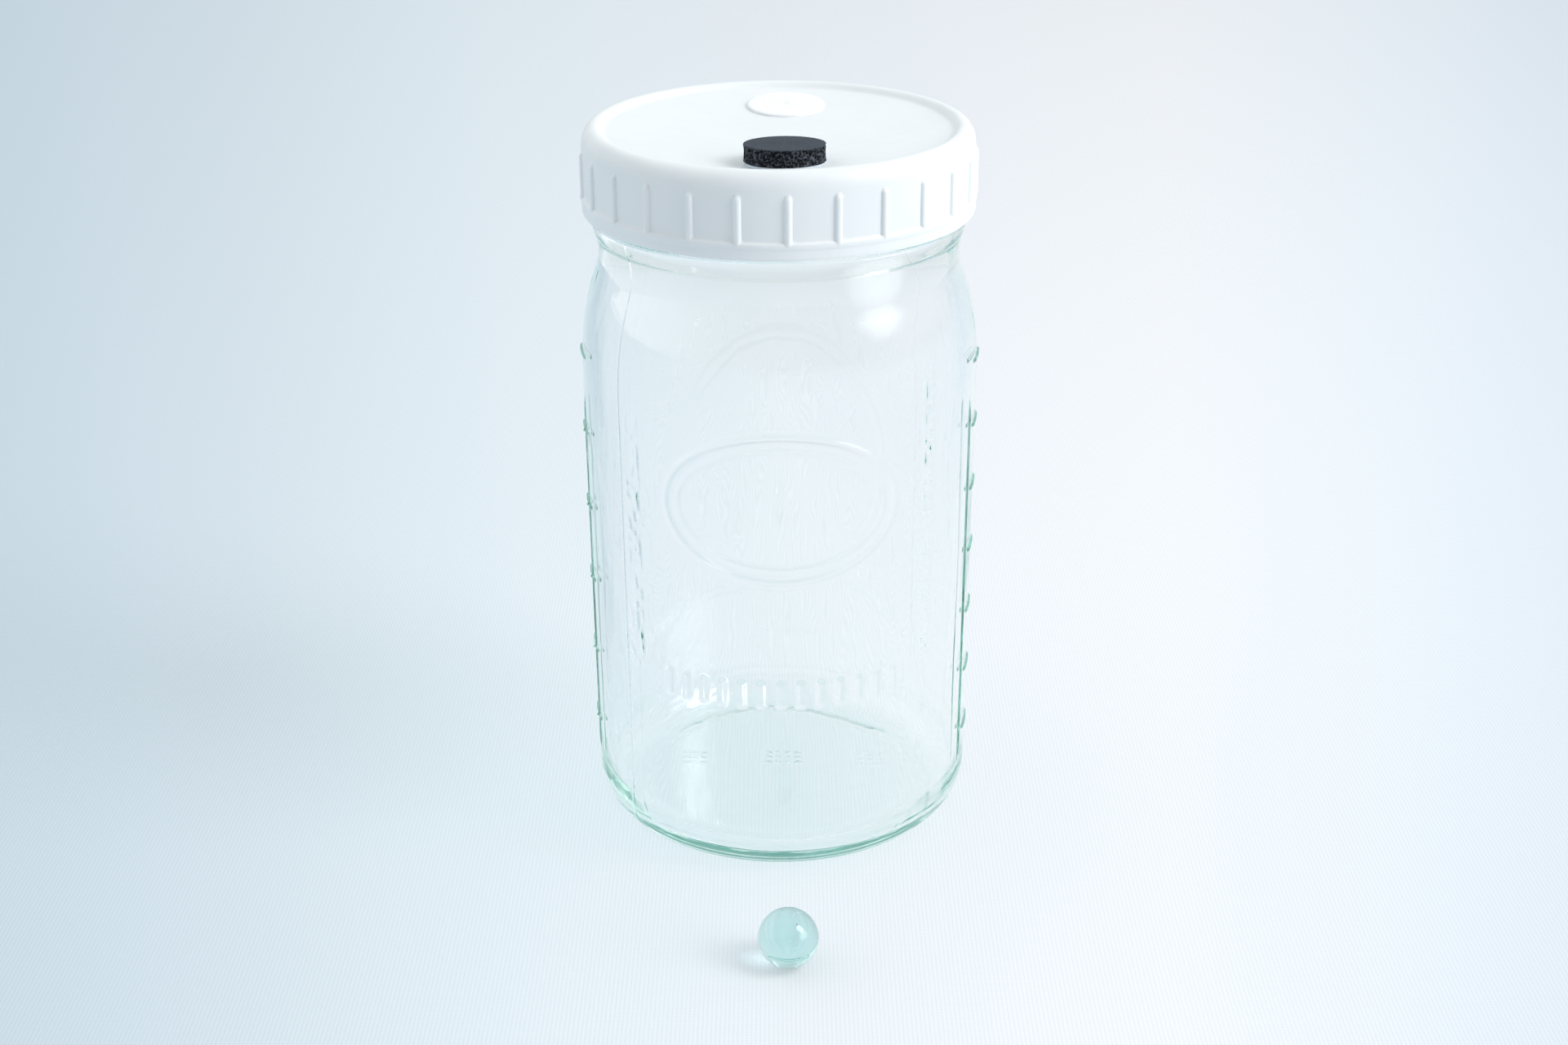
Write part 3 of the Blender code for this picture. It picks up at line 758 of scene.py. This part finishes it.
def jar_columns():
    """Angles of the jar's columns, closer together where its relief is."""
    right = RIGHT_BARS["centre"]
    left = LEFT_BARS["centre"]
    stretches = ((0.0, 37.0, 2.9), (180.0, 37.0, 2.0), (right, 9.0, 2.4), (left, 9.0, 2.4),
                 (GRAIN_COLUMNS, 3.6, 4.6), (-GRAIN_COLUMNS, 3.6, 4.6), (FRONT_SEAM, 0.6, 9.0),
                 (BACK_SEAM, 0.6, 9.0), (RIGHT_EDGE, 1.4, 6.0), (LEFT_EDGE, 1.2, 6.0))
    return columns_by_density(stretches, JAR_COLUMNS)


def plain_density(outer, body):
    """Density of the rows away from the relief of the upright wall."""
    z = outer.z
    base = np.where(body, 0.55, 0.65)
    base = np.where(~body & (outer.r > 1.0) & (outer.r < 28.5), 1.1, base)
    base = np.where(body & (z < 12.0), 1.1, base)
    base = np.where((z > SHOULDER_Z) & (z < 149.5), 0.75, base)
    base = np.where(body & (z >= 149.5) & (z < 156.5), 3.4, base)
    return np.where(body & (z >= 156.5), 2.2, base)


def bar_density(z, upright, base, bars):
    """Density of the rows beside one column of measuring bars."""
    near = np.zeros_like(z, bool)
    for index in range(bars["count"]):
        near |= np.abs(z - (bars["start"] + bars["step"] * index)) < 0.9
    return np.where(upright & near, 6.2, base)


def jar_row_places(outer, angles):
    """Places of the rows along the outer profile for each column."""
    z = outer.z
    body = outer.s > BASE_LENGTH
    base = plain_density(outer, body)
    upright = body & (z > 12.0) & (z < 126.0)
    plain = np.where(upright, 1.1, base)
    front = np.where(upright & (((z > 78.5) & (z < 117.5)) | ((z > 44.5) & (z < 56.5))), 2.0, base)
    back = np.where(upright & (z > 34.0) & (z < 109.0), 1.6, base)
    grainy = np.where(upright & (z > 50.0), 2.2, base)
    right = bar_density(z, upright, base, RIGHT_BARS)
    left = bar_density(z, upright, base, LEFT_BARS)
    shares = ((0.0, 36.0, 5.0, front), (180.0, 38.0, 8.0, back), (RIGHT_BARS["centre"], 9.0, 6.0, right),
              (LEFT_BARS["centre"], 9.0, 6.0, left), (GRAIN_COLUMNS, 4.0, 2.0, grainy),
              (-GRAIN_COLUMNS, 4.0, 2.0, grainy))
    weights = [around(angles, centre, half, fade) for centre, half, fade, _ in shares]
    rest = np.clip(1.0 - sum(weights), 0.0, 1.0)
    densities = rest[:, None] * plain
    for weight, (_, _, _, density) in zip(weights, shares):
        densities = densities + weight[:, None] * density
    wall = outer.s[upright]
    return rows_in_zones(outer, densities, ((wall[0], HEEL_ROWS), (wall[-1], BODY_ROWS),
                                            (outer.s[-1], NECK_ROWS)))


def jar_relief(angle, r, z, body):
    """Everything that stands out of the jar's outer surface, or is sunk in it."""
    upright = body * smooth((z - 12.0) / 6.0) * smooth((150.0 - z) / 10.0)
    grain = np.random.default_rng(11).uniform(-0.4, 1.0, z.shape)
    relief = bar_relief(angle, z, **RIGHT_BARS) + bar_relief(angle, z, **LEFT_BARS)
    relief = relief + front_relief(angle, z) + side_grain(angle, z) + edge_lines(angle, z)
    relief = relief + back_relief(angle, z, grain)
    seams = np.maximum(ridge(angle - FRONT_SEAM, 0.6), 0.6 * ridge(angle - BACK_SEAM, 0.6))
    relief = relief * upright + 0.09 * seams * body * smooth((z - 1.0) / 6.0) * (z < 154.9)
    thread = helix_ridge(angle, z, THREAD_START, 0.0, 1.3, 0.35, THREAD_HEIGHT)
    relief = relief + thread * body * (z > 157.0)
    relief = relief + foot_grain(angle, z) * body
    radians = np.radians(angle)
    marks = base_marks(r * np.sin(radians), -r * np.cos(radians))
    return relief - marks * ((r < 31.0) & ~body)


def build_jar(material):
    outer = jar_outer_profile()
    angles = jar_columns()
    s = jar_row_places(outer, angles)
    r, z, nr, nz = outer.at(s)
    angle = np.broadcast_to(angles, z.shape)
    relief = jar_relief(angle, r, z, s > BASE_LENGTH)
    r = r + nr * relief
    z = z + nz * relief
    points = around_axis(r, z, np.radians(angle))
    rows, columns = z.shape
    vertices = [(0.0, 0.0, RECESS)] + points[1:].reshape(-1, 3).tolist()
    numbers = 1 + np.arange((rows - 1) * columns).reshape(rows - 1, columns)
    faces = fan_faces(0, numbers[0], flip=True) + grid_faces(numbers)
    add_jar_inside(vertices, faces, numbers[-1], angles)
    make_piece("jar_glass", vertices, faces, material, "jar", "glass_jar")


def inner_wave(r, z, radians):
    """Slight unevenness of the inside wall, none at the rim or in the middle of the floor."""
    wave = 0.10 * np.sin(3 * radians + z / 21.0) + 0.07 * np.sin(5 * radians - z / 13.0 + 1.0)
    wave = wave + 0.05 * np.sin(8 * radians + z / 9.0 + 2.0)
    fade = smooth((168.0 - z) / 20.0) * smooth((r - 4.0) / 20.0)
    return wave * fade


def rim_faces(rim_row, row):
    """Faces between the rim's last row and a row with half as many vertices."""
    faces = []
    for index, (here, after) in enumerate(zip(row, np.roll(row, -1))):
        a, b, c = (int(rim_row[(2 * index + k) % len(rim_row)]) for k in range(3))
        faces.append((a, b, int(here)))
        faces.append((b, c, int(after), int(here)))
    return faces


def add_jar_inside(vertices, faces, rim_row, angles):
    """The inner surface, with half the columns, joined to the last row of the rim."""
    inner = jar_inner_profile()
    density = np.where(inner.z > 150.0, 0.6, 1.0)
    density = np.where(inner.z < 16.0, 1.6, density)
    density = np.where((inner.z < 9.0) & (inner.r > 34.0), 6.0, density)
    angles = angles[::2]
    s = rows_by_density(inner, np.broadcast_to(density, (len(angles), len(density))), INNER_ROWS)[1:]
    r, z, _, _ = inner.at(s)
    radians = np.radians(np.broadcast_to(angles, z.shape))
    r = r + inner_wave(r, z, radians)
    z = z + 0.62 * ridge(r - FOOT_R, 2.6) * (z < 10.0)
    points = around_axis(r, z, radians)
    first = len(vertices)
    columns = len(angles)
    vertices += points[:-1].reshape(-1, 3).tolist()
    vertices.append((0.0, 0.0, FLOOR_Z + FLOOR_DOME))
    numbers = first + np.arange((INNER_ROWS - 2) * columns).reshape(INNER_ROWS - 2, columns)
    faces += rim_faces(rim_row, numbers[0])
    faces += grid_faces(numbers)
    faces += fan_faces(len(vertices) - 1, numbers[-1])


# The lid

def dish_height(radius):
    """Height of the lid's dished top."""
    return PLATEAU_Z - DISH * (1.0 - (radius / PLATEAU_R) ** 2)


def lid_profile():
    radii = np.linspace(0.0, PLATEAU_R - 1.0, 16)
    corners = [(r, dish_height(r), 0) for r in radii]
    corners += [(PLATEAU_R - 0.2, dish_height(PLATEAU_R - 0.2), 0.5), (CREST_R - 0.9, LID_TOP - 0.05, 0.9)]
    for step in range(17):
        a = math.pi / 2 * (1 - step / 16)
        corners.append((CREST_R + 3.0 * math.cos(a), LID_TOP - 4.2 * (1 - math.sin(a)), 0))
    corners += [(SKIRT_R, LINE_Z + 0.9, 0.3), (LINE_R, LINE_Z + 0.5, 0.3), (LINE_R, LINE_Z - 0.5, 0.3),
                (BAND_R, LINE_Z - 0.9, 0.3), (BAND_R, LID_LOW, 0.5), (BORE_R, LID_LOW, 0.5),
                (BORE_R, SEAT_Z, 0.4), (SEAT_R, SEAT_Z, 0.5), (36.0, dish_height(36.0) - TOP_WALL, 0.5)]
    corners += [(r, dish_height(r) - TOP_WALL, 0) for r in np.linspace(35.0, 0.0, 10)]
    return Profile(corners, outward=-1.0)


def rib_relief(angle, z):
    """Rounded upright ribs with a domed top and a slightly spread foot."""
    pitch = 360.0 / RIBS
    away = arc_length((angle - RIB_PHASE + pitch / 2) % pitch - pitch / 2, SKIRT_R)
    over = np.maximum(z - (RIB_TOP - 0.8), 0.0)
    round_height = np.sqrt(np.clip(1.0 - (away / RIB_HALF) ** 2 - (over / 0.8) ** 2, 0.0, 1.0))
    foot = 0.10 * ridge(away, 1.3) * smooth((161.8 - z) / 1.4)
    return RIB_HEIGHT * round_height + foot


def lid_columns():
    """Angles of the lid's columns, closer together on each rib."""
    offsets = np.array((-2.6, -1.4, -0.90, -0.83, -0.70, -0.42, 0.0, 0.42, 0.70, 0.83, 0.90, 1.4, 2.6, 4.1))
    offsets = offsets / SKIRT_R * 180.0 / math.pi
    return (RIB_PHASE + 360.0 / RIBS * np.arange(RIBS)[:, None] + offsets[None, :]).ravel()


def lid_row_places(profile, columns):
    """Places of the rows along the lid's profile, closer together at the line and on the thread."""
    high = profile.z
    skirt = profile.r > 45.0
    density = np.where(profile.r < 38.0, 0.28, 1.6)
    density = np.where(skirt & (high < 161.5) & (high > 158.0), 3.2, density)
    density = np.where(skirt & (high > 162.0) & (high < 169.0), 0.35, density)
    density = np.where((np.abs(profile.r - BORE_R) < 0.4) & (high < 169.0), 2.2, density)
    return rows_by_density(profile, np.broadcast_to(density, (columns, len(density))), LID_ROWS)


def build_lid(material):
    profile = lid_profile()
    angles = lid_columns()
    r, z, _, _ = profile.at(lid_row_places(profile, len(angles)))
    angle = np.broadcast_to(angles, z.shape)
    on_bore = (np.abs(r - BORE_R) < 0.6) & (z < 172.0)
    ribbed = (r > 44.5) & (z > LINE_Z) & (z < RIB_TOP + 0.2) & ~on_bore
    start_turn = (LID_THREAD_START - THREAD_START + THREAD_APART) / THREAD_PITCH
    r = np.where(ribbed, np.maximum(r, SKIRT_R + rib_relief(angle, z)), r)
    r = r - helix_ridge(angle, z, LID_THREAD_START, start_turn, 1.15, 0.3, THREAD_HEIGHT) * on_bore
    points = around_axis(r, z, np.radians(angle))
    rows, columns = z.shape
    vertices = [(0.0, 0.0, dish_height(0.0))] + points[1:-1].reshape(-1, 3).tolist()
    vertices.append((0.0, 0.0, dish_height(0.0) - TOP_WALL))
    numbers = 1 + np.arange((rows - 2) * columns).reshape(rows - 2, columns)
    faces = fan_faces(0, numbers[0]) + grid_faces(numbers, flip=True)
    faces += fan_faces(len(vertices) - 1, numbers[-1], flip=True)
    lid = make_piece("lid_shell", vertices, faces, material, "lid", "screw_lid")
    cut_hole(lid, *PORT_PLACE, NEEDLE_HOLE)
    cut_hole(lid, *FILTER_PLACE, VENT_HOLE)
    lid.data.set_sharp_from_angle(angle=math.radians(50.0))


def seat_matrix(x, y, lift):
    """Place of a flat piece on the dish, tilted with it; millimetres in, metres out."""
    radius = math.hypot(x, y)
    slope = 2 * DISH * radius / PLATEAU_R ** 2
    normal = Vector((-slope * x / radius, -slope * y / radius, 1.0)).normalized()
    turn = Vector((0, 0, 1)).rotation_difference(normal).to_matrix().to_4x4()
    base = Vector((x, y, dish_height(radius))) + normal * lift
    return Matrix.Translation(base * MM) @ turn


def cut_hole(target, x, y, radius):
    """A round hole through the lid's top."""
    shape = bmesh.new()
    bmesh.ops.create_cone(shape, cap_ends=True, segments=64, radius1=radius * MM, radius2=radius * MM,
                          depth=0.008, matrix=seat_matrix(x, y, 0.0))
    mesh = bpy.data.meshes.new("cutter")
    shape.to_mesh(mesh)
    shape.free()
    cutter = bpy.data.objects.new("cutter", mesh)
    scene.collection.objects.link(cutter)
    modifier = target.modifiers.new("hole", "BOOLEAN")
    modifier.operation = "DIFFERENCE"
    modifier.solver = "EXACT"
    modifier.object = cutter
    bpy.context.view_layer.update()
    graph = bpy.context.evaluated_depsgraph_get()
    made = bpy.data.meshes.new_from_object(target.evaluated_get(graph))
    target.modifiers.clear()
    old = target.data
    target.data = made
    bpy.data.meshes.remove(old)
    bpy.data.objects.remove(cutter)
    made.shade_smooth()


# Injection port, filter and marble

def turn_points(matrix, points):
    """Millimetre points moved by a matrix in metres, still in millimetres."""
    turn = np.array(matrix.to_3x3())
    move = np.array(matrix.translation) / MM
    return np.asarray(points) @ turn.T + move


def turned(profile, columns):
    """Radii and heights of a (radius, height) profile, repeated for each column."""
    radii = np.array([[r] * columns for r, z in profile], float)
    heights = np.array([[z] * columns for r, z in profile], float)
    return radii, heights


def disc_grid(radii, heights, angles):
    """Vertices and faces of a closed turned disc; radii and heights are (rows, columns)."""
    radians = np.radians(angles)
    points = around_axis(radii, heights, radians)
    rows, columns = radii.shape
    vertices = points.reshape(-1, 3).tolist()
    numbers = np.arange(rows * columns).reshape(rows, columns)
    vertices.append((0.0, 0.0, float(heights[0].mean())))
    vertices.append((0.0, 0.0, float(heights[-1].mean())))
    bottom = len(vertices) - 2
    faces = grid_faces(numbers)
    faces += fan_faces(bottom, numbers[0], flip=True) + fan_faces(bottom + 1, numbers[-1])
    return vertices, faces


def foam_pits(side, angles, rng):
    """Depth of the open cells round the side, one row for each height in side."""
    turn = 2 * math.pi * PORT_R
    along = np.radians(angles) * PORT_R
    pits = np.zeros((len(side), len(angles)))
    for _ in range(PORT_PITS):
        centre = rng.uniform(0.0, turn)
        level = rng.uniform(PORT_FOOT, 3.7)
        size = rng.uniform(0.12, 0.46)
        gap = np.abs(along - centre)
        gap = np.minimum(gap, turn - gap)
        away = np.hypot(gap[None, :], side[:, None] - level)
        pits = np.maximum(pits, size * 0.9 * np.sqrt(np.clip(1.0 - (away / size) ** 2, 0.0, 1.0)))
    return pits


def build_port_foam(material, rng):
    """Foam plug with a smooth skin above and open cells round the side."""
    columns = 420
    angles = np.linspace(0.0, 360.0, columns, endpoint=False)
    side = np.linspace(PORT_FOOT + 0.08, PORT_SIDE, 40)
    bottom = [(r, PORT_FOOT) for r in (3.0, 6.0, 8.0, 8.9)]
    top = [(9.14, 3.73), (9.06, 3.79)] + [(r, PORT_TOP) for r in (8.8, 8.2, 7.0, 5.0, 2.5)]
    radii, heights = turned(bottom + [(PORT_R, z) for z in side] + top, columns)
    pits = foam_pits(side, angles, rng)
    edge = smooth((PORT_SIDE - side) / 0.15)[:, None] * smooth((side - PORT_FOOT) / 0.15)[:, None]
    waist = 0.15 * np.sin(np.pi * side / PORT_TOP)[:, None]
    rough = rng.uniform(0.0, 0.04, pits.shape)
    radii[len(bottom):len(bottom) + len(side)] -= pits * (0.4 + 0.6 * edge) + waist + rough
    heights[len(bottom) + len(side):] += rng.uniform(-0.03, 0.0, (len(top), columns))
    vertices, faces = disc_grid(radii, heights, angles)
    vertices = turn_points(seat_matrix(*PORT_PLACE, PORT_LIFT), vertices)
    port = make_piece("port_foam", vertices, faces, material, "lid", "injection_port")
    port.data.set_sharp_from_angle(angle=math.radians(60.0))


def build_port_film(material, rng):
    """Pale adhesive film under the port, with a slightly uneven edge."""
    columns = 180
    angles = np.linspace(0.0, 360.0, columns, endpoint=False)
    profile = ((4.0, 0.03), (9.06, 0.03), (9.16, 0.09), (9.18, 0.66), (9.08, 0.74), (4.0, 0.75))
    radii, heights = turned(profile, columns)
    radii[1:5] += 0.05 * np.sin(np.radians(angles) * 5) - 0.04 + rng.uniform(-0.03, 0.0, columns)
    vertices, faces = disc_grid(radii, heights, angles)
    vertices = turn_points(seat_matrix(*PORT_PLACE, 0.0), vertices)
    make_piece("port_film_disc", vertices, faces, material, "lid", "port_adhesive")


def build_port(foam, film):
    rng = np.random.default_rng(5)
    build_port_foam(foam, rng)
    build_port_film(film, rng)


def build_filter(material):
    """Thin felted disc, its slightly uneven edge pressed down onto the lid."""
    rng = np.random.default_rng(8)
    columns = 240
    angles = np.linspace(0.0, 360.0, columns, endpoint=False)
    profile = [(4.0, 0.62), (9.32, 0.62), (9.36, 0.05), (9.44, 0.02), (9.5, 0.10),
               (9.49, 0.30), (9.44, 0.50), (9.34, 0.65), (9.10, 0.74), (8.70, 0.79)]
    profile += [(r, 0.81 + 0.08 * (1 - r / 8.2)) for r in np.linspace(8.2, 0.6, 22)]
    radii, heights = turned(profile, columns)
    radii[4:10] += rng.uniform(-0.05, 0.0, columns) + 0.03 * (np.sin(np.radians(angles) * 7) - 1.0)
    heights[10:] += rng.uniform(-0.04, 0.0, heights[10:].shape)
    vertices, faces = disc_grid(radii, heights, angles)
    vertices = turn_points(seat_matrix(*FILTER_PLACE, 0.0), vertices)
    make_piece("filter_felt", vertices, faces, material, "lid", "filter_disc")


def sphere(centre, radius, columns, rows, inward=False):
    """Vertices and faces of a ball, or of a bubble in it when inward."""
    levels = [math.radians(a) for a in np.linspace(-90.0, 90.0, rows + 2)[1:-1]]
    angles = np.linspace(0.0, 360.0, columns, endpoint=False)
    profile = [(radius * math.cos(a), radius * math.sin(a)) for a in levels]
    vertices, faces = disc_grid(*turned(profile, columns), angles)
    vertices[-2] = (0.0, 0.0, -radius)
    vertices[-1] = (0.0, 0.0, radius)
    points = np.asarray(vertices) + np.asarray(centre)
    if inward:
        faces = [tuple(reversed(face)) for face in faces]
    return points.tolist(), [tuple(face) for face in faces]


def build_marble(material):
    """Glass ball with a few tiny bubbles."""
    rng = np.random.default_rng(21)
    centre = np.array(MARBLE_PLACE)
    points, faces = sphere(centre, MARBLE_R, 160, 79)
    for _ in range(SEEDS):
        way = rng.normal(size=3)
        place = centre + way / np.linalg.norm(way) * rng.uniform(2.0, 6.3)
        seed_points, seed_faces = sphere(place, rng.uniform(0.05, 0.14), 16, 8, inward=True)
        first = len(points)
        points += seed_points
        faces += [tuple(number + first for number in face) for face in seed_faces]
    make_piece("marble_ball", points, faces, material, "marble", "stirring_marble")


# Floor and world

def build_floor():
    shape = bmesh.new()
    bmesh.ops.create_grid(shape, x_segments=2, y_segments=2, size=FLOOR_HALF)
    mesh = bpy.data.meshes.new("floor")
    shape.to_mesh(mesh)
    shape.free()
    mesh.materials.append(floor_material())
    floor = bpy.data.objects.new("floor", mesh)
    scene.collection.objects.link(floor)


def sky_patch(tree, centre, half_wide, half_high):
    """A soft bright oval in the world, one at its middle and nothing outside it."""
    centre = Vector(centre).normalized()
    sideways = Vector((0.0, 0.0, 1.0)).cross(centre).normalized()
    upward = centre.cross(sideways)
    place = node(tree, "ShaderNodeTexCoord")
    along = []
    for direction in (centre, sideways, upward):
        dot = node(tree, "ShaderNodeVectorMath", operation="DOT_PRODUCT")
        dot.inputs[1].default_value = direction
        tree.links.new(place.outputs["Generated"], dot.inputs[0])
        along.append(dot.outputs["Value"])
    total = None
    for value, half in ((along[1], half_wide), (along[2], half_high)):
        share = math_node(tree, "DIVIDE", value, math_node(tree, "MULTIPLY", along[0], half))
        share = math_node(tree, "POWER", math_node(tree, "ABSOLUTE", share, 0.0), 2.0)
        total = share if total is None else math_node(tree, "ADD", total, share)
    inside = map_range(tree, total, 0.10, 1.90, 1.0, 0.0)
    return math_node(tree, "MULTIPLY", inside, math_node(tree, "GREATER_THAN", along[0], 0.0))


def build_world():
    """Pale studio: bright at the sides, dimmer behind the camera, one soft window at the right."""
    world = bpy.data.worlds.new("studio")
    scene.world = world
    world.use_nodes = True
    tree = world.node_tree
    back = tree.nodes["Background"]
    place = node(tree, "ShaderNodeTexCoord")
    split = node(tree, "ShaderNodeSeparateXYZ")
    tree.links.new(place.outputs["Generated"], split.inputs["Vector"])
    side = map_range(tree, split.outputs["X"], -1.0, 1.0, 0.0, 1.0)
    colour = ramp(tree, side, WORLD_COLOURS)
    front = map_range(tree, split.outputs["Y"], -0.95, 0.05, WORLD_FRONT, 1.0)
    tree.links.new(multiply(tree, colour, front), back.inputs["Color"])
    back.inputs["Strength"].default_value = WORLD_STRENGTH
    window = node(tree, "ShaderNodeBackground")
    strength = math_node(tree, "MULTIPLY", sky_patch(tree, WINDOW_WAY, *WINDOW_SIZE), WINDOW_POWER)
    tree.links.new(strength, window.inputs["Strength"])
    both = node(tree, "ShaderNodeAddShader")
    tree.links.new(back.outputs["Background"], both.inputs[0])
    tree.links.new(window.outputs["Background"], both.inputs[1])
    tree.links.new(both.outputs["Shader"], tree.nodes["World Output"].inputs["Surface"])


def dress_nodes():
    """Better materials for the CAD nodes that stay."""
    film = film_material("filter_clear_film", (0.72, 0.74, 0.74), (0.80, 0.82, 0.82), 0.35)
    for name, material in (("seal_ring", seal_material()), ("filter_adhesive", film)):
        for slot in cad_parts[name].material_slots:
            slot.material = material


add_camera()
build_floor()
build_world()
add_key_lamp()
build_jar(jar_glass_material())
build_lid(lid_material())
build_port(foam_material(), film_material("port_pale_film", (0.50, 0.565, 0.62), (0.60, 0.665, 0.72), 0.30))
build_filter(felt_material())
build_marble(marble_material())
dress_nodes()
scene.view_settings.view_transform = "Standard"
scene.cycles.max_bounces = LIGHT_BOUNCES
scene.cycles.transmission_bounces = LIGHT_BOUNCES
scene.cycles.glossy_bounces = LIGHT_BOUNCES
scene.cycles.transparent_max_bounces = LIGHT_BOUNCES
